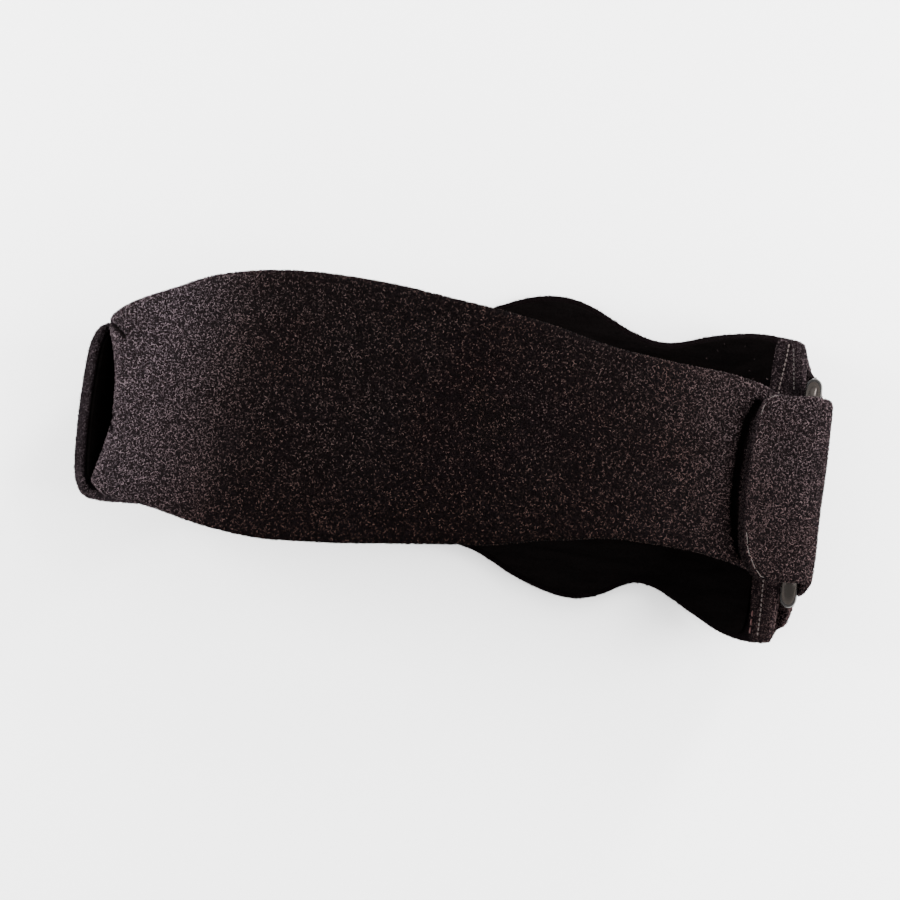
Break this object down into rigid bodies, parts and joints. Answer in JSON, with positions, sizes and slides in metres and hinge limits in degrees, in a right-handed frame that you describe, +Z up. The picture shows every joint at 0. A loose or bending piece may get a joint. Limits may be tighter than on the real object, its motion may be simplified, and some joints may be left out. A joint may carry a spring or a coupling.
{
  "type": "patella strap",
  "caption": "Closed knee strap: a contoured lined panel, a wide brushed foam strap passed through a wire ring and folded back on itself, lying on its back.",
  "frame": {"origin": "on the resting surface, under the middle of the closed loop's bounding box", "axes": "+X from the folded end of the strap to the ring, +Y along the leg towards the higher edge, +Z up from the contoured panel to the strap"},
  "size_m": [0.1756, 0.0784, 0.0548],
  "materials": {
    "strap_cloth": "brushed loop pile on foam, charcoal with a brown cast",
    "panel_cloth": "brushed loop pile, charcoal",
    "lining": "short black velour",
    "tab_cloth": "brushed loop pile, charcoal, with pinkish brown stitching",
    "ring_metal": "satin gunmetal",
    "hook": "black hook tape"
  },
  "bodies": {
    "root": {"front_strap": "strap_cloth", "contoured_panel": "panel_cloth", "panel_lining": "lining", "ring_tab": "tab_cloth", "ring": "ring_metal", "hook_patch": "hook"}
  },
  "joints": []
}
